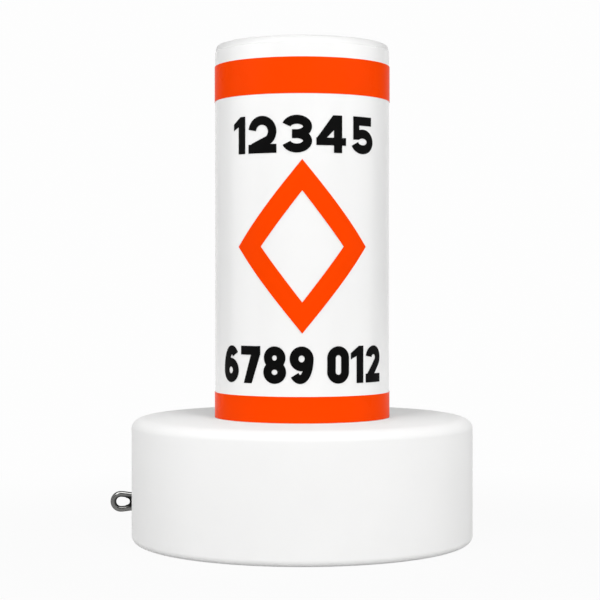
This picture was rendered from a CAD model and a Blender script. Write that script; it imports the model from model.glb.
"""Float collar buoy: its fine surfaces, films and finishes, with a floor, lamps and a camera.

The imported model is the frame. Each new piece takes its size and place from the node that
it stands for, and the small fixings under the buoy keep their own meshes with new finishes.
"""

import math

import bmesh
import bpy
from bpy.props import FloatProperty, FloatVectorProperty, IntProperty, PointerProperty
from mathutils import Matrix, Vector


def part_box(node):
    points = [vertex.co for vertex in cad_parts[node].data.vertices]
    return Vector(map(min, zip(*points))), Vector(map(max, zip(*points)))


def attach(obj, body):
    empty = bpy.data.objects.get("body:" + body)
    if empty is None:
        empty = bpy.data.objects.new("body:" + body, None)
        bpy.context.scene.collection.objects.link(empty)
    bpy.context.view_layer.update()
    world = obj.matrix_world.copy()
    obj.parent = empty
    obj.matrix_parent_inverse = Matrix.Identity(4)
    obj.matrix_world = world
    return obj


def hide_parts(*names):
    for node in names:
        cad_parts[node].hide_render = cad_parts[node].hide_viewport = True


bl_info = {
    "name": "Float collar buoy",
    "version": (1, 0, 0),
    "blender": (4, 5, 0),
    "location": "3D Viewport > Sidebar > Buoy",
    "description": "Builds the surfaces, films, finishes and stage of a float collar buoy",
    "category": "Object",
}

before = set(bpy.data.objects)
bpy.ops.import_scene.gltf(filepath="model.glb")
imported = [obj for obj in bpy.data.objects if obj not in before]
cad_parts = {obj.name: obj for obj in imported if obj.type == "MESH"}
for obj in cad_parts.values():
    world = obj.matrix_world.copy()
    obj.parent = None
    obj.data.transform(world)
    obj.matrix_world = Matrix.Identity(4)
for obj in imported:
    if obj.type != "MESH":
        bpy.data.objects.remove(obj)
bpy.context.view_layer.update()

BODY = "root"
UPPER_NUMERALS = "12345"
LOWER_NUMERALS = "6789012"
SCREW_COUNT = 6
MERGE_DISTANCE = 1e-6
SMOOTH_ANGLE = math.radians(32)
POLYETHYLENE_IOR = 1.51
LAMP_TARGET = (0, 0, 0.32)
# Each lamp's name, the setting of its power, its place and its width
LAMPS = (
    ("key_lamp", "key_power", (-2.3, -3.9, 3.0), 1.8),
    ("fill_lamp", "fill_power", (2.2, -4.0, 2.8), 1.8),
    ("high_left_lamp", "high_left_power", (-1.0, -0.65, 1.1), 0.8),
    ("high_right_lamp", "high_right_power", (1.0, -0.65, 1.1), 0.8),
    ("left_lamp", "left_power", (-3.0, -0.5, 0.9), 2.4),
    ("right_lamp", "right_power", (3.0, -0.5, 0.9), 2.4),
)


class BuoyMouldings(bpy.types.PropertyGroup):
    """Sizes of the two hollow mouldings that their boxes don't give, and the wear of the column's top."""

    wall: FloatProperty(
        name="Wall", description="Wall thickness of both mouldings", default=0.005, unit="LENGTH")
    column_floor: FloatProperty(
        name="Column floor", description="Thickness of the column's floor", default=0.008, unit="LENGTH")
    flange_thickness: FloatProperty(
        name="Flange", description="Thickness of the column's foot flange", default=0.010, unit="LENGTH")
    touch_gap: FloatProperty(
        name="Clearance", description="Clearance between pieces that touch", default=0.0003, unit="LENGTH")
    rim_width: FloatProperty(
        name="Collar rim width", description="How far the collar's top rounding reaches inwards",
        default=0.0195, unit="LENGTH")
    rim_drop: FloatProperty(
        name="Collar rim drop", description="How far the collar's top rounding reaches down",
        default=0.0135, unit="LENGTH")
    base_edge: FloatProperty(
        name="Collar base edge", description="Radius of the collar's bottom edge", default=0.009,
        unit="LENGTH")
    bore_edge: FloatProperty(
        name="Bore edge", description="Radius of the collar's edge beside the column",
        default=0.0012, unit="LENGTH")
    shoulder_drop: FloatProperty(
        name="Column shoulder drop", description="How far the column's shoulder reaches down",
        default=0.009, unit="LENGTH")
    shoulder_inset: FloatProperty(
        name="Column shoulder inset", description="How far the shoulder leans in over its height",
        default=0.0018, unit="LENGTH")
    top_edge: FloatProperty(
        name="Column top edge", description="Radius of the column's top edge", default=0.003, unit="LENGTH")
    parting_line: FloatProperty(
        name="Parting line", description="Depth of the fine line under the column's shoulder",
        default=0.0006, unit="LENGTH")
    rubbed_share: FloatProperty(
        name="Rubbed top", description="Share of its lightness that the column's top edge keeps",
        default=0.83)
    rubbed_roughness: FloatProperty(
        name="Rubbed roughness", description="Roughness that the column's top edge gains", default=0.4)
    segments: IntProperty(
        name="Segments", description="Facets round each moulding", default=216, min=24)
    edge_steps: IntProperty(
        name="Edge steps", description="Facets across each rounded edge", default=12, min=2)


class BuoyFixings(bpy.types.PropertyGroup):
    """Sizes of the ports and pockets under the buoy."""

    port_radius: FloatProperty(
        name="Port", description="Radius of each vent port", default=0.014, unit="LENGTH")
    port_seat: FloatProperty(
        name="Port seat", description="Thickness of the seat round each port", default=0.005, unit="LENGTH")
    port_boss_wall: FloatProperty(
        name="Port boss", description="Wall of the boss round each port", default=0.006, unit="LENGTH")
    insert_boss_wall: FloatProperty(
        name="Insert boss", description="Wall of the boss round each insert", default=0.0038, unit="LENGTH")
    head_pocket: FloatProperty(
        name="Head pocket", description="Depth of the pocket for each screw head", default=0.0038,
        unit="LENGTH")
    head_room: FloatProperty(
        name="Head room", description="Room round each screw's head and shank", default=0.0005,
        unit="LENGTH")
    shank_radius: FloatProperty(
        name="Shank", description="Radius of each screw's shank", default=0.0022, unit="LENGTH")


class BuoyFilms(bpy.types.PropertyGroup):
    """Sizes of the films on the column."""

    thickness: FloatProperty(
        name="Thickness", description="Thickness of each film", default=0.0003, unit="LENGTH")
    stroke: FloatProperty(
        name="Stroke", description="Width of the strokes of the numerals", default=0.0112, unit="LENGTH")
    diamond_opening_width: FloatProperty(
        name="Diamond opening width", description="Width of the diamond's opening along the arc",
        default=0.108, unit="LENGTH")
    diamond_opening_height: FloatProperty(
        name="Diamond opening height", description="Height of the diamond's opening",
        default=0.140, unit="LENGTH")
    lap: FloatProperty(
        name="Lap", description="Length of each band's lap at the back of the column",
        default=0.018, unit="LENGTH")
    strip_angle: FloatProperty(
        name="Strip", description="Angle between the bends of a film", default=math.radians(5 / 3),
        subtype="ANGLE")
    arc_step: FloatProperty(
        name="Arc step", description="Angle between the points of a stroke", default=math.radians(6),
        subtype="ANGLE")


class BuoyEye(bpy.types.PropertyGroup):
    """Sizes of the rod eye on the collar's side."""

    rod_radius: FloatProperty(
        name="Rod", description="Radius of the rod", default=0.00385, unit="LENGTH")
    outer_height: FloatProperty(
        name="Loop height", description="Outer height of the loop", default=0.0274, unit="LENGTH")
    root_height: FloatProperty(
        name="Root height", description="Outer height of the loop at the collar", default=0.0243,
        unit="LENGTH")
    buried_length: FloatProperty(
        name="Buried length", description="Length of each leg inside the collar", default=0.022,
        unit="LENGTH")
    foot_length: FloatProperty(
        name="Foot", description="Length of each leg's bent foot", default=0.010, unit="LENGTH")
    bend_radius: FloatProperty(
        name="Bend", description="Radius of each foot's bend", default=0.006, unit="LENGTH")
    bar_share: FloatProperty(
        name="Bar", description="Radius of the closing bar as a share of the rod's", default=0.98)
    bar_depth: FloatProperty(
        name="Bar depth", description="How far the bar's centre lies under the collar's face",
        default=0.0002, unit="LENGTH")
    bar_bow: FloatProperty(
        name="Bar bow", description="How far the closing bar's ends run along the legs",
        default=0.0085, unit="LENGTH")
    boss_wall: FloatProperty(
        name="Boss", description="Plastic round the buried legs", default=0.005, unit="LENGTH")
    weld_grain: FloatProperty(
        name="Weld grain", description="Size of the mesh that blends the bar into the loop",
        default=0.0005, unit="LENGTH")
    grime_start: FloatProperty(
        name="Grime start", description="Distance from the loop's middle where the grime starts to thin",
        default=0.0062, unit="LENGTH")
    grime_end: FloatProperty(
        name="Grime end", description="Distance from the loop's middle where the grime ends",
        default=0.0088, unit="LENGTH")
    sides: IntProperty(
        name="Sides", description="Facets round the rod", default=28, min=8)


class BuoyColours(bpy.types.PropertyGroup):
    """Colours of the finishes."""

    collar: FloatVectorProperty(
        name="Collar", description="White of the collar", default=(0.90, 0.90, 0.895), subtype="COLOR")
    column: FloatVectorProperty(
        name="Column", description="White of the column", default=(0.865, 0.865, 0.861), subtype="COLOR")
    orange: FloatVectorProperty(
        name="Orange", description="Orange of the bands and the diamond", default=(0.93, 0.056, 0.0),
        subtype="COLOR")
    black: FloatVectorProperty(
        name="Black", description="Black of the numerals", default=(0.003, 0.003, 0.003), subtype="COLOR")
    eye: FloatVectorProperty(
        name="Eye", description="Dark steel of the side eye", default=(0.19, 0.19, 0.184), subtype="COLOR")
    grime: FloatVectorProperty(
        name="Grime", description="Grime on the inner side of the eye", default=(0.012, 0.012, 0.011),
        subtype="COLOR")
    steel: FloatVectorProperty(
        name="Steel", description="Steel of the screws", default=(0.56, 0.56, 0.54), subtype="COLOR")
    brass: FloatVectorProperty(
        name="Brass", description="Brass of the inserts", default=(0.72, 0.50, 0.20), subtype="COLOR")
    rubber: FloatVectorProperty(
        name="Rubber", description="Rubber of the seals", default=(0.02, 0.02, 0.02), subtype="COLOR")
    plug: FloatVectorProperty(
        name="Plug", description="Grey of the vent plugs", default=(0.62, 0.62, 0.61), subtype="COLOR")


class BuoyStage(bpy.types.PropertyGroup):
    """The camera, the lamps and the floor."""

    camera_distance: FloatProperty(
        name="Camera distance", description="From the lens to the column's axis", default=2.196,
        unit="LENGTH")
    camera_height: FloatProperty(
        name="Camera height", description="Height of the lens above the floor", default=0.338,
        unit="LENGTH")
    camera_aside: FloatProperty(
        name="Camera aside", description="How far the lens stands left of the axis", default=0.0028,
        unit="LENGTH")
    camera_dip: FloatProperty(
        name="Camera dip", description="How far the camera looks down", default=0.0103, subtype="ANGLE")
    lens: FloatProperty(
        name="Lens", description="Focal length in millimetres", default=100.1)
    key_power: FloatProperty(
        name="Key", description="Power of the main lamp in watts", default=68.0)
    fill_power: FloatProperty(
        name="Fill", description="Power of the second lamp in watts", default=95.0)
    high_left_power: FloatProperty(
        name="High left", description="Power of the near lamp at the upper left in watts", default=3.9)
    high_right_power: FloatProperty(
        name="High right", description="Power of the near lamp at the upper right in watts", default=3.4)
    left_power: FloatProperty(
        name="Left", description="Power of the lamp at the left in watts", default=18.0)
    right_power: FloatProperty(
        name="Right", description="Power of the lamp at the right in watts", default=16.0)
    ambient: FloatProperty(
        name="Ambient", description="Strength of the light all round", default=0.55)
    left_shade: FloatProperty(
        name="Left shade", description="Brightness of the studio's left side", default=0.25)
    right_shade: FloatProperty(
        name="Right shade", description="Brightness of the studio's right side", default=0.12)
    wall_shade: FloatProperty(
        name="Wall shade", description="Brightness of the walls that only gloss shows", default=0.2)
    soft_box: FloatProperty(
        name="Soft box", description="Brightness high in front that only gloss shows", default=6.0)
    white: FloatProperty(
        name="White", description="White of the floor and the background", default=0.985)
    floor_radius: FloatProperty(
        name="Floor", description="Radius of the floor", default=9.0, unit="LENGTH")
    floor_gap: FloatProperty(
        name="Floor gap", description="How far the floor lies under the buoy", default=0.0004,
        unit="LENGTH")
    floor_bounce: FloatProperty(
        name="Floor bounce", description="Share of its light that the floor returns", default=0.6)
    shadow_share: FloatProperty(
        name="Shadow share", description="Share of plain white in the floor near the buoy",
        default=0.955)
    shadow_start: FloatProperty(
        name="Shadow start", description="Distance from the axis where the shadow starts to fade",
        default=0.30, unit="LENGTH")
    shadow_end: FloatProperty(
        name="Shadow end", description="Distance from the axis where the shadow has faded to white",
        default=0.90, unit="LENGTH")


def piece_from(name, shape, finish):
    """Turn a bmesh into a finished piece that rides on the buoy."""
    mesh = mesh_from(name, shape)
    mesh.materials.append(finish)
    piece = bpy.data.objects.new(name, mesh)
    bpy.context.collection.objects.link(piece)
    return piece


def mesh_from(name, shape):
    bmesh.ops.remove_doubles(shape, verts=shape.verts, dist=MERGE_DISTANCE)
    bmesh.ops.recalc_face_normals(shape, faces=shape.faces)
    mesh = bpy.data.meshes.new(name)
    shape.to_mesh(mesh)
    shape.free()
    smooth(mesh)
    return mesh


def smooth(mesh):
    mesh.shade_smooth()
    mesh.set_sharp_from_angle(angle=SMOOTH_ANGLE)


def settle(piece, slot, *nodes):
    """Ride the piece on the buoy in place of its nodes, in their material slot."""
    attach(piece, BODY)
    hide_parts(*nodes)


def carve(piece, tools, solver="EXACT"):
    """Join each tool on or cut it out, and keep the result as the piece's own mesh."""
    holders = []
    for mesh, operation in tools:
        holder = bpy.data.objects.new(mesh.name, mesh)
        bpy.context.collection.objects.link(holder)
        modifier = piece.modifiers.new(mesh.name, "BOOLEAN")
        modifier.object = holder
        modifier.operation = operation
        modifier.solver = solver
        holders.append(holder)
    graph = bpy.context.evaluated_depsgraph_get()
    result = bpy.data.meshes.new_from_object(piece.evaluated_get(graph))
    piece.modifiers.clear()
    piece.data = result
    smooth(result)
    for holder in holders:
        bpy.data.objects.remove(holder)


def elliptic_arc(centre, width, height, start, end, steps):
    """Points of an elliptic arc between two angles in degrees."""
    angles = [math.radians(start + (end - start) * step / steps) for step in range(steps + 1)]
    return [(centre[0] + width * math.cos(a), centre[1] + height * math.sin(a)) for a in angles]


def turned(outline, segments, closed=False):
    """Spin an outline of (radius, height) points round the column's axis."""
    shape = bmesh.new()
    points = [shape.verts.new((radius, 0, height)) for radius, height in outline]
    edges = [shape.edges.new(pair) for pair in zip(points, points[1:])]
    if closed:
        edges.append(shape.edges.new((points[-1], points[0])))
    bmesh.ops.spin(shape, geom=points + edges, cent=(0, 0, 0), axis=(0, 0, 1), angle=2 * math.pi,
                   steps=segments, use_merge=True)
    return shape


def pegs(name, radius, bottom, top, places, segments=48):
    """Upright round tools at each (x, y) place."""
    shape = bmesh.new()
    for x, y in places:
        bmesh.ops.create_cone(shape, cap_ends=True, segments=segments, radius1=radius, radius2=radius,
                              depth=top - bottom, matrix=Matrix.Translation((x, y, (bottom + top) / 2)))
    return mesh_from(name, shape)


def block(name, size, centre):
    shape = bmesh.new()
    place = Matrix.Translation(centre) @ Matrix.Diagonal((*size, 1))
    bmesh.ops.create_cube(shape, size=1, matrix=place)
    return mesh_from(name, shape)


def rod(name, points, radius, sides):
    """A round rod along a list of points, as a mesh."""
    path = bpy.data.curves.new(name, "CURVE")
    path.dimensions = "3D"
    path.bevel_depth = radius
    path.bevel_resolution = sides // 2 - 2
    path.use_fill_caps = True
    line = path.splines.new("POLY")
    line.points.add(len(points) - 1)
    for point, place in zip(line.points, points):
        point.co = (*place, 1)
    holder = bpy.data.objects.new(name, path)
    bpy.context.collection.objects.link(holder)
    graph = bpy.context.evaluated_depsgraph_get()
    mesh = bpy.data.meshes.new_from_object(holder.evaluated_get(graph))
    bpy.data.objects.remove(holder)
    shape = bmesh.new()
    shape.from_mesh(mesh)
    return mesh_from(name, shape)


def middle_of(node):
    low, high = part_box(node)
    return (low + high) / 2


def screw_places():
    centres = [middle_of(f"foot_screw_{index}") for index in range(1, SCREW_COUNT + 1)]
    return [(centre.x, centre.y) for centre in centres]


def half_width(node):
    low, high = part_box(node)
    return (high.x - low.x) / 2


def film_radius(films):
    """Radius of the inner face of every film."""
    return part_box("upper_band")[1].x - films.thickness


def column_radius(films, mouldings):
    """Radius of the column under its films."""
    return film_radius(films) - mouldings.touch_gap


def port_tools(float_name, mouldings, fixings, floor):
    """The boss, recess and hole of one float's vent port."""
    centre = middle_of(f"{float_name}_vent_plug")
    place = [(centre.x, centre.y)]
    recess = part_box(f"{float_name}_vent_seal")[1].z + mouldings.touch_gap
    top = recess + fixings.port_seat
    head = half_width(f"{float_name}_vent_plug") + mouldings.touch_gap
    boss = pegs("port_boss", head + fixings.port_boss_wall, floor / 2, top, place, segments=96)
    pocket = pegs("port_recess", head, -recess, recess, place, segments=96)
    hole = pegs("port_hole", fixings.port_radius, 0, 2 * top, place, segments=72)
    return [(boss, "UNION"), (pocket, "DIFFERENCE"), (hole, "DIFFERENCE")]


def root_offset(eye):
    """How far each leg's centre stands above or below the middle of the eye."""
    return eye.root_height / 2 - eye.rod_radius


def eye_leg(eye, radius, height, side, start_reach, end_allowance=0.0):
    """Points of one leg of the eye, from the collar's face to the end of its buried foot."""
    buried_end = radius - eye.buried_length
    root = height + side * root_offset(eye)
    bend_centre = root + side * eye.bend_radius
    leg = [(-radius - start_reach, 0, root), (-(buried_end + radius) / 2, 0, root)]
    bend = [(-buried_end + eye.bend_radius * math.sin(a), 0,
             bend_centre - side * eye.bend_radius * math.cos(a))
            for a in [math.pi / 2 * step / 8 for step in range(9)]]
    foot_end = bend_centre + side * (eye.foot_length - eye.bend_radius + end_allowance)
    return leg + bend + [(-buried_end + eye.bend_radius, 0, foot_end)]


def eye_loop(eye, radius, height, tip):
    """Points of the eye's loop outside the collar, from its lower root to its upper root."""
    root_half = root_offset(eye)
    head_radius = eye.outer_height / 2 - eye.rod_radius
    head_x = tip + eye.rod_radius + head_radius
    arc = [(head_x - head_radius * math.sin(a), 0, height - head_radius * math.cos(a))
           for a in [math.pi * step / 40 for step in range(41)]]
    reach = head_x + radius
    flank = []
    for step in range(1, 8):
        along = step / 8
        ease = along * along * (3 - 2 * along)
        flank.append((reach * along, root_half + (head_radius - root_half) * ease))
    lower = [(-radius + x, 0, height - z) for x, z in flank]
    upper = [(-radius + x, 0, height + z) for x, z in reversed(flank)]
    return lower + arc + upper


def eye_bar(eye, radius, height):
    """Points of the bar that closes the loop at the collar's face, bowed so that it runs into the legs."""
    bow_x = -(radius - eye.bar_depth) - eye.bar_bow
    bow = elliptic_arc((bow_x, height), eye.bar_bow, root_offset(eye), -90, 90, 16)
    return [(x, 0, z) for x, z in bow]


def bend_film(shape, films):
    """Cut a flat film into strips and bend it round the column. Flat -Y faces outwards."""
    inner = film_radius(films)
    strip = inner * films.strip_angle
    reach = max(abs(vertex.co.x) for vertex in shape.verts)
    count = int(reach / strip)
    for index in range(-count, count + 1):
        geometry = shape.verts[:] + shape.edges[:] + shape.faces[:]
        bmesh.ops.bisect_plane(shape, geom=geometry, dist=1e-7, plane_co=(index * strip, 0, 0),
                               plane_no=(1, 0, 0))
    bmesh.ops.triangulate(shape, faces=shape.faces)
    for vertex in shape.verts:
        angle = vertex.co.x / inner
        radius = inner - vertex.co.y
        vertex.co = (radius * math.sin(angle), -radius * math.cos(angle), vertex.co.z)


def thicken(shape, thickness):
    """Give flat faces in the XZ plane the film's thickness, towards -Y."""
    grown = bmesh.ops.extrude_face_region(shape, geom=shape.faces[:])
    moved = [item for item in grown["geom"] if isinstance(item, bmesh.types.BMVert)]
    bmesh.ops.translate(shape, verts=moved, vec=(0, -thickness, 0))


def pen_stroke(points, films, closed=False):
    """Flat stroke of one width along a path of (x, z) points."""
    shape = bmesh.new()
    path = [Vector(point) for point in points]
    count = len(path)
    pairs = []
    for index, point in enumerate(path):
        before = path[index - 1] if index > 0 or closed else point
        after = path[(index + 1) % count] if index < count - 1 or closed else point
        along = ((after - point).normalized() + (point - before).normalized()).normalized()
        across = Vector((-along.y, along.x)) * films.stroke / 2
        pairs.append([shape.verts.new((place.x, 0, place.y)) for place in (point + across, point - across)])
    for index in range(count if closed else count - 1):
        following = pairs[(index + 1) % count]
        shape.faces.new((pairs[index][0], pairs[index][1], following[1], following[0]))
    thicken(shape, films.thickness)
    return mesh_from("stroke", shape)


def flat_plate(corners, films):
    """Flat film with straight edges between (x, z) corners."""
    shape = bmesh.new()
    shape.faces.new([shape.verts.new((x, 0, z)) for x, z in corners])
    thicken(shape, films.thickness)
    return mesh_from("plate", shape)


def pen_arc(centre, width, height, start, end, films):
    steps = max(2, round(abs(math.radians(end - start)) / films.arc_step))
    return elliptic_arc(centre, width, height, start, end, steps)


def pen_ring(centre, width, height, films):
    return pen_stroke(pen_arc(centre, width, height, 0, 360, films)[:-1], films, closed=True)


def numeral_strokes(numeral, width, height, films):
    """The strokes of one numeral, which stands on z = 0 with its left side at x = 0.

    The plain factors are shares of the numeral's width, of its height or of its stroke.
    """
    stroke = films.stroke
    half = stroke / 2
    middle = width / 2
    bowl_width = middle - half
    small_bowl = (height - stroke) / 4
    large_bowl = (0.66 * height - stroke) / 2
    if numeral == "0":
        straight = height - stroke - 2 * bowl_width
        path = (pen_arc((middle, half + bowl_width + straight), bowl_width, bowl_width, 0, 180, films)
                + pen_arc((middle, half + bowl_width), bowl_width, bowl_width, 180, 360, films))
        return [pen_stroke(path, films, closed=True)]
    if numeral == "1":
        left = width - stroke
        flag = 0.8 * stroke
        return [flat_plate([(left, 0), (width, 0), (width, height), (left + 0.3 * stroke, height),
                            (left - flag, height - flag), (left - flag, height - 1.9 * flag),
                            (left, height - 1.4 * flag)], films)]
    if numeral == "2":
        centre = (middle, height - half - bowl_width)
        path = pen_arc(centre, bowl_width, bowl_width, 172, -48, films) + [(0.58 * stroke, 0.6 * stroke)]
        bar = [(0, 0), (width, 0), (width, stroke), (0, stroke)]
        return [pen_stroke(path, films), flat_plate(bar, films)]
    if numeral == "3":
        tail = [(0.34 * width, height / 2)]
        upper = pen_arc((middle, height - half - small_bowl), bowl_width, small_bowl, 165, -90, films)
        lower = pen_arc((middle, half + small_bowl), bowl_width, small_bowl, 90, -165, films)
        return [pen_stroke(upper + tail, films), pen_stroke(tail + lower, films)]
    if numeral == "4":
        stem = 0.86 * width - stroke
        low = 0.20 * height
        bar_top = low + 0.85 * stroke
        foot = bar_top - 0.1 * stroke
        return [flat_plate([(stem, 0), (stem + stroke, 0), (stem + stroke, height), (stem, height)], films),
                flat_plate([(0, low), (width, low), (width, bar_top), (0, bar_top)], films),
                flat_plate([(0, foot), (1.1 * stroke, foot), (stem + 0.2 * stroke, height - 1.45 * stroke),
                            (stem + 0.2 * stroke, height), (stem - 0.1 * stroke, height)], films)]
    if numeral == "5":
        left = 0.1 * width
        right = 0.92 * width
        stem_right = left + 0.85 * stroke
        stem_top = height - 0.5 * stroke
        stem_foot = 0.38 * height
        bowl = pen_arc((middle, half + large_bowl), bowl_width, large_bowl, 138, -162, films)
        return [flat_plate([(left, height - stroke), (right, height - stroke), (right, height),
                            (left, height)], films),
                flat_plate([(left, stem_foot), (stem_right, stem_foot), (stem_right, stem_top),
                            (left, stem_top)], films),
                pen_stroke(bowl, films)]
    if numeral in "69":
        lean = 0.06 * width
        spine = pen_arc((middle + lean, half + large_bowl), bowl_width + lean,
                        height - stroke - large_bowl, 185, 52, films)
        parts = [pen_ring((middle, half + large_bowl), bowl_width, large_bowl, films),
                 pen_stroke(spine, films)]
        if numeral == "9":
            turn = Matrix.Translation((width, 0, height)) @ Matrix.Rotation(math.pi, 4, "Y")
            for part in parts:
                part.transform(turn)
        return parts
    if numeral == "7":
        foot = 0.16 * width
        join = height - 0.9 * stroke
        return [flat_plate([(0, height - stroke), (width, height - stroke), (width, height), (0, height)],
                           films),
                flat_plate([(foot, 0), (foot + 1.12 * stroke, 0), (width, join),
                            (width - 1.2 * stroke, join)], films)]
    # The 8 is a narrower ring on a wider one
    return [pen_ring((middle, height - half - small_bowl), 0.92 * bowl_width, small_bowl, films),
            pen_ring((middle, half + small_bowl), bowl_width, small_bowl, films)]


def arc_span(node, films):
    """Where a film starts and ends along the arc, read from its node's box."""
    low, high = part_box(node)
    inner = film_radius(films)
    outer = inner + films.thickness

    def along(x, radius):
        return inner * math.asin(max(-1.0, min(1.0, x / radius)))

    left = along(low.x, outer if low.x < 0 else inner)
    right = along(high.x, outer if high.x > 0 else inner)
    return left, right


def add_node(tree, kind, **values):
    """Add a shader node and set its inputs and settings by name."""
    node = tree.nodes.new(kind)
    for name, value in values.items():
        label = name.replace("_", " ").title()
        if label in node.inputs:
            node.inputs[label].default_value = value
        else:
            setattr(node, name, value)
    return node


def object_noise(tree, scale, detail, stretch=(1, 1, 1)):
    """Noise in the buoy's own metres."""
    where = tree.nodes.new("ShaderNodeTexCoord")
    mapping = tree.nodes.new("ShaderNodeMapping")
    mapping.inputs["Scale"].default_value = stretch
    noise = add_node(tree, "ShaderNodeTexNoise", scale=scale, detail=detail)
    tree.links.new(where.outputs["Object"], mapping.inputs["Vector"])
    tree.links.new(mapping.outputs["Vector"], noise.inputs["Vector"])
    return noise.outputs["Fac"]


def calculate(tree, operation, *values):
    """Work out a value from numbers and the outputs of other nodes."""
    node = add_node(tree, "ShaderNodeMath", operation=operation)
    for socket, value in zip(node.inputs, values):
        if isinstance(value, float):
            socket.default_value = value
        else:
            tree.links.new(value, socket)
    return node.outputs["Value"]


def map_range(tree, value, start, end, low=0.0, high=1.0, interpolation="LINEAR"):
    """Map a value that runs from start to end to another range."""
    ramp = tree.nodes.new("ShaderNodeMapRange")
    ramp.interpolation_type = interpolation
    for label, limit in (("From Min", start), ("From Max", end), ("To Min", low), ("To Max", high)):
        ramp.inputs[label].default_value = limit
    tree.links.new(value, ramp.inputs["Value"])
    return ramp.outputs["Result"]


def mix_shaders(tree, share, first, second):
    """Blend two shaders by the second one's share."""
    mix = tree.nodes.new("ShaderNodeMixShader")
    tree.links.new(share, mix.inputs["Fac"])
    tree.links.new(first, mix.inputs[1])
    tree.links.new(second, mix.inputs[2])
    return mix.outputs["Shader"]


def spread(tree, value, low, high):
    """Map noise from its usual middle range to another range."""
    return map_range(tree, value, 0.3, 0.7, low, high)


def toned(colour, share):
    """A colour made darker or lighter."""
    return tuple(channel * share for channel in colour)


def tint(tree, value, dark, light):
    """Blend two colours by a value."""
    mix = tree.nodes.new("ShaderNodeMix")
    mix.data_type = "RGBA"
    mix.inputs["A"].default_value = (*dark, 1)
    mix.inputs["B"].default_value = (*light, 1)
    tree.links.new(spread(tree, value, 0.0, 1.0), mix.inputs["Factor"])
    return mix.outputs["Result"]


def bump(tree, shader, *layers):
    """Chain bumps of (height, distance in metres, strength) into the shader's normal."""
    last = None
    for height, distance, strength in layers:
        node = tree.nodes.new("ShaderNodeBump")
        node.inputs["Distance"].default_value = distance
        node.inputs["Strength"].default_value = strength
        tree.links.new(height, node.inputs["Height"])
        if last is not None:
            tree.links.new(last, node.inputs["Normal"])
        last = node.outputs["Normal"]
    tree.links.new(last, shader.inputs["Normal"])


def new_finish(name):
    finish = bpy.data.materials.new(name)
    finish.use_nodes = True
    return finish, finish.node_tree, finish.node_tree.nodes["Principled BSDF"]


def moulded_plastic(name, colour, roughness, peel, gloss, rubbed=None):
    """Moulded polyethylene: a faint cloudiness, uneven gloss and a fine orange peel."""
    finish, tree, shader = new_finish(name)
    cloud = object_noise(tree, 9.0, detail=2.0)
    fine = object_noise(tree, 420.0, detail=2.0)
    ripple = object_noise(tree, 26.0, detail=1.0)
    shown = tint(tree, cloud, toned(colour, 0.98), colour)
    dull = spread(tree, ripple, roughness * 0.88, roughness * 1.12)
    if rubbed is not None:
        shown, dull = rub(tree, shown, dull, *rubbed)
    tree.links.new(shown, shader.inputs["Base Color"])
    tree.links.new(dull, shader.inputs["Roughness"])
    bump(tree, shader, (ripple, 0.0006, 0.10), (fine, 0.00012, peel))
    shader.inputs["IOR"].default_value = POLYETHYLENE_IOR
    shader.inputs["Specular IOR Level"].default_value = gloss
    return finish


def rub(tree, colour, roughness, start, end, share, added_roughness):
    """Grey and dull a surface from one height up to another, as handling leaves a top edge."""
    where = tree.nodes.new("ShaderNodeTexCoord")
    parts = tree.nodes.new("ShaderNodeSeparateXYZ")
    tree.links.new(where.outputs["Object"], parts.inputs["Vector"])
    height = parts.outputs["Z"]
    greyed = add_node(tree, "ShaderNodeVectorMath", operation="SCALE")
    tree.links.new(colour, greyed.inputs["Vector"])
    tree.links.new(map_range(tree, height, start, end, 1.0, share), greyed.inputs["Scale"])
    added = map_range(tree, height, start, end, 0.0, added_roughness)
    return greyed.outputs["Vector"], calculate(tree, "ADD", roughness, added)


def cut_film(name, colour, roughness, gloss):
    """Cast vinyl: even colour, smooth gloss and a slight ripple from the plastic under it."""
    finish, tree, shader = new_finish(name)
    broad = object_noise(tree, 14.0, detail=2.0)
    ripple = object_noise(tree, 30.0, detail=1.0)
    grain = object_noise(tree, 900.0, detail=1.0)
    tree.links.new(tint(tree, broad, toned(colour, 0.97), colour), shader.inputs["Base Color"])
    tree.links.new(spread(tree, ripple, roughness * 0.85, roughness * 1.15), shader.inputs["Roughness"])
    bump(tree, shader, (ripple, 0.0005, 0.10), (grain, 0.00004, 0.10))
    shader.inputs["Specular IOR Level"].default_value = gloss
    return finish


def worn_steel(name, colour, roughness, edge=0.8, grimed=None):
    """Bare metal: dull and bright patches, fine scratches, and grime inside a loop."""
    finish, tree, shader = new_finish(name)
    patches = object_noise(tree, 260.0, detail=4.0)
    scratches = object_noise(tree, 700.0, detail=3.0, stretch=(0.15, 1, 1))
    shown = tint(tree, patches, toned(colour, 0.72), colour)
    if grimed is not None:
        shown = grime(tree, shown, *grimed)
    tree.links.new(shown, shader.inputs["Base Color"])
    shader.inputs["Specular Tint"].default_value = (edge, edge, edge, 1)
    tree.links.new(spread(tree, patches, roughness * 0.8, roughness * 1.35), shader.inputs["Roughness"])
    bump(tree, shader, (scratches, 0.00006, 0.15))
    shader.inputs["Metallic"].default_value = 1.0
    return finish


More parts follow.
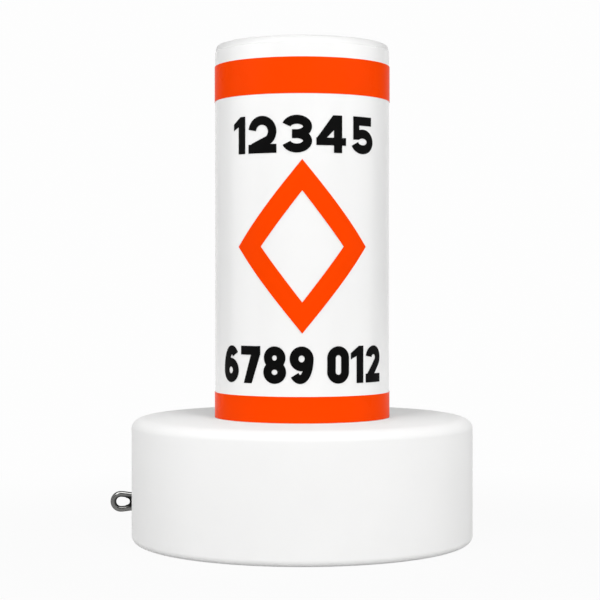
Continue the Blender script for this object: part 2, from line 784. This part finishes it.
def grime(tree, colour, dirt, middle, start, end):
    """Darken the inner side of a loop that is open towards +X from its middle."""
    where = tree.nodes.new("ShaderNodeTexCoord")
    place = where.outputs["Object"]
    for operation, second in (("SUBTRACT", middle), ("MINIMUM", (0, 1, 1)), ("MULTIPLY", (1, 0, 1))):
        step = add_node(tree, "ShaderNodeVectorMath", operation=operation)
        step.inputs[1].default_value = second
        tree.links.new(place, step.inputs[0])
        place = step.outputs["Vector"]
    length = add_node(tree, "ShaderNodeVectorMath", operation="LENGTH")
    tree.links.new(place, length.inputs[0])
    mix = tree.nodes.new("ShaderNodeMix")
    mix.data_type = "RGBA"
    mix.inputs["A"].default_value = (*dirt, 1)
    tree.links.new(colour, mix.inputs["B"])
    tree.links.new(map_range(tree, length.outputs["Value"], start, end), mix.inputs["Factor"])
    return mix.outputs["Result"]


def soft_rubber(name, colour):
    """Moulded rubber with a fine matt grain."""
    finish, tree, shader = new_finish(name)
    grain = object_noise(tree, 1200.0, detail=2.0)
    tree.links.new(tint(tree, grain, colour, toned(colour, 1.5)), shader.inputs["Base Color"])
    tree.links.new(spread(tree, grain, 0.7, 0.9), shader.inputs["Roughness"])
    bump(tree, shader, (grain, 0.0001, 0.3))
    return finish


class BUOY_OT_collar(bpy.types.Operator):
    """Build the round float collar with its rounded rim, ports and pockets"""

    bl_idname = "buoy.collar"
    bl_label = "Float collar"

    def execute(self, context):
        sizes = context.scene.buoy_mouldings
        fixings = context.scene.buoy_fixings
        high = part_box("float_collar")[1]
        finish = moulded_plastic("collar_polyethylene", context.scene.buoy_colours.collar,
                                 roughness=0.6, peel=0.22, gloss=0.02)
        piece = piece_from("collar_moulding", self.outer_form(sizes, high), finish)
        cavity = mesh_from("collar_cavity", self.cavity(sizes, high))
        carve(piece, [(cavity, "DIFFERENCE")] + self.insert_tools(sizes, fixings)
              + port_tools("collar", sizes, fixings, sizes.wall)
              + self.eye_tools(context.scene.buoy_eye, sizes, high.x))
        settle(piece, "collar_white", "float_collar")
        return {"FINISHED"}

    def inner_step(self, sizes):
        """Radius of the bore, and radius and height of the rebate for the column's flange."""
        bore = column_radius(bpy.context.scene.buoy_films, sizes) + sizes.touch_gap
        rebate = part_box("marker_column")[1].x + sizes.touch_gap
        return bore, rebate, sizes.flange_thickness + sizes.touch_gap

    def outer_form(self, sizes, high):
        """Section of the bore, top, rim, base and flange rebate, spun to a ring."""
        radius, height = high.x, high.z
        bore, rebate, rebate_top = self.inner_step(sizes)
        rim = elliptic_arc((radius - sizes.rim_width, height - sizes.rim_drop), sizes.rim_width,
                           sizes.rim_drop, 90, 0, 2 * sizes.edge_steps)
        base = elliptic_arc((radius - sizes.base_edge, sizes.base_edge), sizes.base_edge,
                            sizes.base_edge, 0, -90, sizes.edge_steps)
        lip = elliptic_arc((bore + sizes.bore_edge, height - sizes.bore_edge), sizes.bore_edge,
                           sizes.bore_edge, 180, 90, sizes.edge_steps // 2)
        outline = [(rebate, 0), (rebate, rebate_top), (bore, rebate_top)] + lip + rim + base
        return turned(outline, sizes.segments, closed=True)

    def cavity(self, sizes, high):
        """The hollow inside, one wall within the outer form."""
        radius, height = high.x, high.z
        bore, rebate, rebate_top = self.inner_step(sizes)
        step = rebate + sizes.wall
        step_top = rebate_top + sizes.wall
        rim = elliptic_arc((radius - sizes.rim_width, height - sizes.rim_drop),
                           sizes.rim_width - sizes.wall, sizes.rim_drop - sizes.wall, 90, 0, 4)
        chamfer = sizes.base_edge - sizes.wall
        outline = ([(step, sizes.wall), (step, step_top), (bore + sizes.wall, step_top),
                    (bore + sizes.wall, height - sizes.wall)] + rim
                   + [(radius - sizes.wall, sizes.wall + chamfer), (radius - sizes.base_edge, sizes.wall)])
        return turned(outline, sizes.segments // 3, closed=True)

    def insert_tools(self, sizes, fixings):
        """Bosses over the flange and pockets for the inserts."""
        rebate_top = self.inner_step(sizes)[2]
        radius = half_width("foot_insert_1") + sizes.touch_gap
        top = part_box("foot_insert_1")[1].z + sizes.touch_gap
        places = screw_places()
        bosses = pegs("insert_bosses", radius + fixings.insert_boss_wall, rebate_top + sizes.wall / 2,
                      top + fixings.insert_boss_wall, places, segments=32)
        pockets = pegs("insert_pockets", radius, 0, top, places, segments=32)
        return [(bosses, "UNION"), (pockets, "DIFFERENCE")]

    def eye_tools(self, eye, sizes, radius):
        """Boss round the eye's buried legs, and the channels that they fill."""
        height = middle_of("side_eye").z
        reach = eye.buried_length + eye.rod_radius + sizes.touch_gap + eye.boss_wall
        size = (reach - sizes.wall / 2, 2 * (eye.rod_radius + sizes.touch_gap + eye.boss_wall),
                2 * (root_offset(eye) + eye.foot_length + eye.boss_wall))
        centre = (-(radius - (reach + sizes.wall / 2) / 2), 0, height)
        tools = [(block("eye_boss", size, centre), "UNION")]
        for side in (-1, 1):
            leg = eye_leg(eye, radius, height, side, eye.rod_radius, sizes.touch_gap)
            channel = rod("eye_channel", leg, eye.rod_radius + sizes.touch_gap, eye.sides)
            tools.append((channel, "DIFFERENCE"))
        bar = rod("eye_bar_channel", eye_bar(eye, radius, height),
                  eye.bar_share * eye.rod_radius + sizes.touch_gap, eye.sides)
        return tools + [(bar, "DIFFERENCE")]


class BUOY_OT_column(bpy.types.Operator):
    """Build the upright column with its rounded top and its foot flange"""

    bl_idname = "buoy.column"
    bl_label = "Marker column"

    def execute(self, context):
        sizes = context.scene.buoy_mouldings
        fixings = context.scene.buoy_fixings
        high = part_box("marker_column")[1]
        rubbed = (high.z - sizes.shoulder_drop, high.z - sizes.top_edge / 2, sizes.rubbed_share,
                  sizes.rubbed_roughness)
        finish = moulded_plastic("column_polyethylene", context.scene.buoy_colours.column,
                                 roughness=0.24, peel=0.10, gloss=0.45, rubbed=rubbed)
        radius = column_radius(context.scene.buoy_films, sizes)
        flange = sizes.flange_thickness
        outline = ([(0, high.z)] + self.shoulder(sizes, radius, high.z)
                   + [(radius, flange), (high.x, flange), (high.x, 0), (0, 0)])
        piece = piece_from("column_moulding", turned(outline, sizes.segments), finish)
        carve(piece, self.tools(sizes, fixings, radius, high.z))
        settle(piece, "column_white", "marker_column")
        return {"FINISHED"}

    def shoulder(self, sizes, radius, top):
        """The rounded top edge, the flank that leans in, and the fine line where the flank starts."""
        edge = sizes.top_edge
        lean = math.degrees(math.atan2(sizes.shoulder_inset, sizes.shoulder_drop))
        corner = elliptic_arc((radius - sizes.shoulder_inset - edge, top - edge), edge, edge, 90, lean,
                              sizes.edge_steps)
        line = sizes.parting_line
        start = top - sizes.shoulder_drop
        return corner + [(radius - line / 2, start + line), (radius - line, start), (radius, start - line)]

    def tools(self, sizes, fixings, radius, top):
        """The hollow inside, the vent port, and the screws' pockets and holes."""
        inside = radius - sizes.wall
        hollow = [(0, top - sizes.wall), (inside - sizes.shoulder_inset, top - sizes.wall),
                  (inside, top - sizes.shoulder_drop), (inside, sizes.column_floor),
                  (0, sizes.column_floor)]
        cavity = mesh_from("column_cavity", turned(hollow, sizes.segments // 3))
        places = screw_places()
        heads = pegs("screw_head_pockets", half_width("foot_screw_1") + fixings.head_room,
                     -fixings.head_pocket, fixings.head_pocket, places)
        holes = pegs("screw_holes", fixings.shank_radius + fixings.head_room, 0,
                     2 * sizes.flange_thickness, places)
        return ([(cavity, "DIFFERENCE")] + port_tools("column", sizes, fixings, sizes.column_floor)
                + [(heads, "DIFFERENCE"), (holes, "DIFFERENCE")])


class BUOY_OT_bands(bpy.types.Operator):
    """Wrap the two orange bands round the column, each with a lap at the back"""

    bl_idname = "buoy.bands"
    bl_label = "Orange bands"

    def execute(self, context):
        films = context.scene.buoy_films
        sizes = context.scene.buoy_mouldings
        finish = cut_film("orange_band_film", context.scene.buoy_colours.orange, roughness=0.3, gloss=0.015)
        inner = film_radius(films)
        outer = inner + films.thickness
        for name in ("upper_band", "lower_band"):
            low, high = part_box(name)
            outline = [(inner, low.z), (inner, high.z), (outer, high.z), (outer, low.z)]
            piece = piece_from(f"{name}_film", turned(outline, sizes.segments, closed=True), finish)
            carve(piece, [(self.lap(low.z, high.z, outer, films), "UNION")])
            piece.visible_diffuse = False
            settle(piece, "film_orange", name)
        return {"FINISHED"}

    def lap(self, bottom, top, radius, films):
        """The end of a band's film, stuck over its start at the back of the column."""
        turn = films.lap / radius
        inner = radius - films.thickness / 2
        outer = radius + films.thickness
        shape = bmesh.new()
        corners = [(inner, bottom), (inner, top), (outer, top), (outer, bottom)]
        end = shape.faces.new([shape.verts.new((0, x, z)) for x, z in corners])
        geometry = [end] + end.edges[:] + end.verts[:]
        bmesh.ops.spin(shape, geom=geometry, cent=(0, 0, 0), axis=(0, 0, 1), angle=turn, steps=6)
        return mesh_from("band_lap", shape)


class BUOY_OT_diamond(bpy.types.Operator):
    """Lay the hollow orange diamond on the front of the column"""

    bl_idname = "buoy.diamond"
    bl_label = "Orange diamond"

    def execute(self, context):
        films = context.scene.buoy_films
        finish = cut_film("orange_mark_film", context.scene.buoy_colours.orange, roughness=0.3, gloss=0.015)
        low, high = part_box("diamond_mark")
        left, right = arc_span("diamond_mark", films)
        middle = (low.z + high.z) / 2
        shape = bmesh.new()
        loops = []
        for width, height in ((right - left, high.z - low.z),
                              (films.diamond_opening_width, films.diamond_opening_height)):
            corners = [(width / 2, 0), (0, height / 2), (-width / 2, 0), (0, -height / 2)]
            loops.append([shape.verts.new((x, 0, middle + z)) for x, z in corners])
        for index in range(4):
            following = (index + 1) % 4
            shape.faces.new((loops[0][index], loops[0][following], loops[1][following], loops[1][index]))
        thicken(shape, films.thickness)
        bend_film(shape, films)
        piece = piece_from("diamond_film", shape, finish)
        settle(piece, "film_orange", "diamond_mark")
        return {"FINISHED"}


class BUOY_OT_numerals(bpy.types.Operator):
    """Lay the two rows of black numerals on the column"""

    bl_idname = "buoy.numerals"
    bl_label = "Black numerals"

    def execute(self, context):
        films = context.scene.buoy_films
        finish = cut_film("black_film", context.scene.buoy_colours.black, roughness=0.35, gloss=0.03)
        for row, numerals in (("upper", UPPER_NUMERALS), ("lower", LOWER_NUMERALS)):
            for index, numeral in enumerate(numerals, start=1):
                self.lay(f"{row}_numeral_{index}", numeral, films, finish)
        return {"FINISHED"}

    def lay(self, node, numeral, films, finish):
        """Join one numeral's strokes and bend it into its node's place."""
        low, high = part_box(node)
        left, right = arc_span(node, films)
        first, *others = numeral_strokes(numeral, right - left, high.z - low.z, films)
        blank = bpy.data.objects.new("numeral_blank", first)
        bpy.context.collection.objects.link(blank)
        carve(blank, [(other, "UNION") for other in others], "MANIFOLD")
        shape = bmesh.new()
        shape.from_mesh(blank.data)
        bpy.data.objects.remove(blank)
        bmesh.ops.dissolve_limit(shape, angle_limit=math.radians(1), verts=shape.verts, edges=shape.edges)
        bmesh.ops.translate(shape, verts=shape.verts, vec=(left, 0, low.z))
        bend_film(shape, films)
        piece = piece_from(f"{node}_film", shape, finish)
        settle(piece, "film_black", node)


class BUOY_OT_eye(bpy.types.Operator):
    """Bend the steel rod eye on the collar's left side"""

    bl_idname = "buoy.eye"
    bl_label = "Side eye"

    def execute(self, context):
        eye = context.scene.buoy_eye
        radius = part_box("float_collar")[1].x
        low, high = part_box("side_eye")
        height = (low.z + high.z) / 2
        path = (eye_leg(eye, radius, height, -1, 0)[::-1] + eye_loop(eye, radius, height, low.x)
                + eye_leg(eye, radius, height, 1, 0))
        mesh = rod("eye_rod", path, eye.rod_radius, eye.sides)
        colours = context.scene.buoy_colours
        head = (low.x + eye.outer_height / 2, 0, height)
        finish = worn_steel("eye_steel", colours.eye, roughness=0.12, edge=0.25,
                            grimed=(colours.grime, head, eye.grime_start, eye.grime_end))
        mesh.materials.append(finish)
        piece = bpy.data.objects.new("eye_rod", mesh)
        bpy.context.collection.objects.link(piece)
        bar = rod("eye_bar", eye_bar(eye, radius, height), eye.bar_share * eye.rod_radius, eye.sides)
        carve(piece, [(bar, "UNION")])
        self.blend_weld(piece, eye)
        settle(piece, "eye_steel", "side_eye")
        return {"FINISHED"}

    def blend_weld(self, piece, eye):
        """Run the bar and the loop together as a weld does."""
        remesh = piece.modifiers.new("weld", "REMESH")
        remesh.mode = "VOXEL"
        remesh.voxel_size = eye.weld_grain
        soften = piece.modifiers.new("soften", "SMOOTH")
        soften.factor = 0.5
        soften.iterations = 8
        graph = bpy.context.evaluated_depsgraph_get()
        result = bpy.data.meshes.new_from_object(piece.evaluated_get(graph))
        piece.modifiers.clear()
        piece.data = result
        result.shade_smooth()


class BUOY_OT_fixings(bpy.types.Operator):
    """Give the screws, inserts, plugs and seals their finishes"""

    bl_idname = "buoy.fixings"
    bl_label = "Fixings"

    def execute(self, context):
        colours = context.scene.buoy_colours
        finishes = {
            "foot_screw": worn_steel("screw_steel", colours.steel, roughness=0.24),
            "foot_insert": worn_steel("insert_brass", colours.brass, roughness=0.34),
            "vent_plug": moulded_plastic("plug_polyethylene", colours.plug, roughness=0.42, peel=0.25,
                                         gloss=0.5),
            "vent_seal": soft_rubber("seal_rubber", colours.rubber),
        }
        for name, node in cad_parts.items():
            for part, finish in finishes.items():
                if part in name:
                    node.data.materials.clear()
                    node.data.materials.append(finish)
        return {"FINISHED"}


class BUOY_OT_stage(bpy.types.Operator):
    """Set the floor, the lamps and the camera"""

    bl_idname = "buoy.stage"
    bl_label = "Stage"

    def execute(self, context):
        stage = context.scene.buoy_stage
        self.lay_floor(stage)
        self.light_world(context.scene, stage)
        for name, power, place, width in LAMPS:
            self.hang_lamp(name, getattr(stage, power), place, width)
        self.place_camera(context.scene, stage)
        context.scene.view_settings.view_transform = "Standard"
        return {"FINISHED"}

    def seen_rays(self, tree):
        """1 for rays that show the background itself, and 0 for the light that it gives."""
        path = tree.nodes.new("ShaderNodeLightPath")
        seen = path.outputs["Is Camera Ray"]
        for name in ("Is Glossy Ray", "Is Transmission Ray"):
            seen = calculate(tree, "MAXIMUM", seen, path.outputs[name])
        return seen

    def lay_floor(self, stage):
        shape = bmesh.new()
        below = Matrix.Translation((0, 0, -stage.floor_gap))
        bmesh.ops.create_circle(shape, cap_ends=True, segments=128, radius=stage.floor_radius, matrix=below)
        floor = piece_from("floor", shape, self.floor_finish(stage))

    def floor_finish(self, stage):
        """Pale floor that keeps a soft shadow near the buoy and fades to the background's white."""
        finish = bpy.data.materials.new("pale_floor")
        finish.use_nodes = True
        tree = finish.node_tree
        tree.nodes.clear()
        out = tree.nodes.new("ShaderNodeOutputMaterial")
        paint = add_node(tree, "ShaderNodeBsdfDiffuse", color=(stage.floor_bounce,) * 3 + (1,))
        glow = add_node(tree, "ShaderNodeEmission", color=(stage.white,) * 3 + (1,), strength=1.0)
        where = tree.nodes.new("ShaderNodeTexCoord")
        length = add_node(tree, "ShaderNodeVectorMath", operation="LENGTH")
        tree.links.new(where.outputs["Object"], length.inputs[0])
        clear = map_range(tree, length.outputs["Value"], stage.shadow_start, stage.shadow_end,
                          stage.shadow_share, 1.0, "SMOOTHSTEP")
        shown = mix_shaders(tree, clear, paint.outputs["BSDF"], glow.outputs["Emission"])
        floor = mix_shaders(tree, self.seen_rays(tree), paint.outputs["BSDF"], shown)
        tree.links.new(floor, out.inputs["Surface"])
        return finish

    def light_world(self, scene, stage):
        world = bpy.data.worlds.new("studio")
        scene.world = world
        world.use_nodes = True
        tree = world.node_tree
        tree.nodes.clear()
        out = tree.nodes.new("ShaderNodeOutputWorld")
        light = tree.nodes.new("ShaderNodeBackground")
        white = add_node(tree, "ShaderNodeBackground", color=(stage.white,) * 3 + (1,))
        sides = self.side_shade(tree, stage)
        tree.links.new(calculate(tree, "MULTIPLY", sides, stage.ambient), light.inputs["Strength"])
        mirrored = calculate(tree, "MULTIPLY", sides, self.upper_shade(tree, stage))
        path = tree.nodes.new("ShaderNodeLightPath")
        brightness = calculate(tree, "MAXIMUM", path.outputs["Is Camera Ray"], mirrored)
        tree.links.new(brightness, white.inputs["Strength"])
        studio = mix_shaders(tree, self.seen_rays(tree), light.outputs["Background"],
                             white.outputs["Background"])
        tree.links.new(studio, out.inputs["Surface"])

    def side_shade(self, tree, stage):
        """How bright the studio is in each direction: full ahead and behind, and dim at the sides."""
        stops = [(0.0, stage.left_shade), (0.4, 1.0), (0.6, 1.0), (1.0, stage.right_shade)]
        return self.shade(tree, "X", stops)

    def upper_shade(self, tree, stage):
        """What gloss shows from below upwards: white, then dark walls, and a soft box high in front."""
        walls = self.shade(tree, "Z", [(0.0, 1.0), (0.56, 1.0), (0.64, stage.wall_shade),
                                       (1.0, stage.wall_shade)])
        box = self.shade(tree, "Z", [(0.84, 0.0), (0.92, 1.0)])
        front = self.shade(tree, "Y", [(0.44, stage.soft_box), (0.5, 0.0)])
        return calculate(tree, "MULTIPLY_ADD", box, front, walls)

    def shade(self, tree, axis, stops):
        """A brightness that follows one axis of the direction, from -1 at 0 to 1 at 1."""
        where = tree.nodes.new("ShaderNodeTexCoord")
        parts = tree.nodes.new("ShaderNodeSeparateXYZ")
        ramp = tree.nodes.new("ShaderNodeValToRGB")
        ramp.color_ramp.interpolation = "EASE"
        while len(ramp.color_ramp.elements) < len(stops):
            ramp.color_ramp.elements.new(0.5)
        for element, (place, value) in zip(ramp.color_ramp.elements, stops):
            element.position = place
            element.color = (value, value, value, 1)
        tree.links.new(where.outputs["Generated"], parts.inputs["Vector"])
        tree.links.new(map_range(tree, parts.outputs[axis], -1.0, 1.0), ramp.inputs["Fac"])
        return ramp.outputs["Color"]

    def hang_lamp(self, name, power, place, width):
        """Hang a square lamp that points at the buoy."""
        lamp = bpy.data.lights.new(name, "AREA")
        lamp.shape = "SQUARE"
        lamp.size = width
        lamp.energy = power
        holder = bpy.data.objects.new(name, lamp)
        holder.location = place
        aim = Vector(LAMP_TARGET) - Vector(place)
        holder.rotation_euler = aim.to_track_quat("-Z", "Y").to_euler()
        holder.visible_camera = False
        bpy.context.collection.objects.link(holder)

    def place_camera(self, scene, stage):
        camera = bpy.data.cameras.new("photo_camera")
        camera.sensor_width = 36.0
        camera.lens = stage.lens
        camera.clip_end = 100.0
        holder = bpy.data.objects.new("photo_camera", camera)
        holder.location = (-stage.camera_aside, -stage.camera_distance, stage.camera_height)
        holder.rotation_euler = (math.pi / 2 - stage.camera_dip, 0, 0)
        bpy.context.collection.objects.link(holder)
        scene.camera = holder


class BUOY_PT_parts(bpy.types.Panel):
    """Lists the steps that build the buoy"""

    bl_idname = "BUOY_PT_parts"
    bl_label = "Float collar buoy"
    bl_space_type = "VIEW_3D"
    bl_region_type = "UI"
    bl_category = "Buoy"

    def draw(self, context):
        for step in STEPS:
            self.layout.operator(step.bl_idname)
        for name in SETTINGS:
            settings = getattr(context.scene, name)
            column = self.layout.column()
            for key in settings.__annotations__:
                column.prop(settings, key)


SETTINGS = {
    "buoy_mouldings": BuoyMouldings,
    "buoy_fixings": BuoyFixings,
    "buoy_films": BuoyFilms,
    "buoy_eye": BuoyEye,
    "buoy_colours": BuoyColours,
    "buoy_stage": BuoyStage,
}
STEPS = (BUOY_OT_collar, BUOY_OT_column, BUOY_OT_bands, BUOY_OT_diamond, BUOY_OT_numerals, BUOY_OT_eye,
         BUOY_OT_fixings, BUOY_OT_stage)


def register():
    for group in SETTINGS.values():
        bpy.utils.register_class(group)
    for name, group in SETTINGS.items():
        setattr(bpy.types.Scene, name, PointerProperty(type=group))
    for step in STEPS + (BUOY_PT_parts,):
        bpy.utils.register_class(step)


def unregister():
    for step in (BUOY_PT_parts,) + STEPS[::-1]:
        bpy.utils.unregister_class(step)
    for name in SETTINGS:
        delattr(bpy.types.Scene, name)
    for group in reversed(list(SETTINGS.values())):
        bpy.utils.unregister_class(group)


def main():
    register()
    bpy.ops.buoy.collar()
    bpy.ops.buoy.column()
    bpy.ops.buoy.bands()
    bpy.ops.buoy.diamond()
    bpy.ops.buoy.numerals()
    bpy.ops.buoy.eye()
    bpy.ops.buoy.fixings()
    bpy.ops.buoy.stage()


if __name__ == "__main__":
    main()
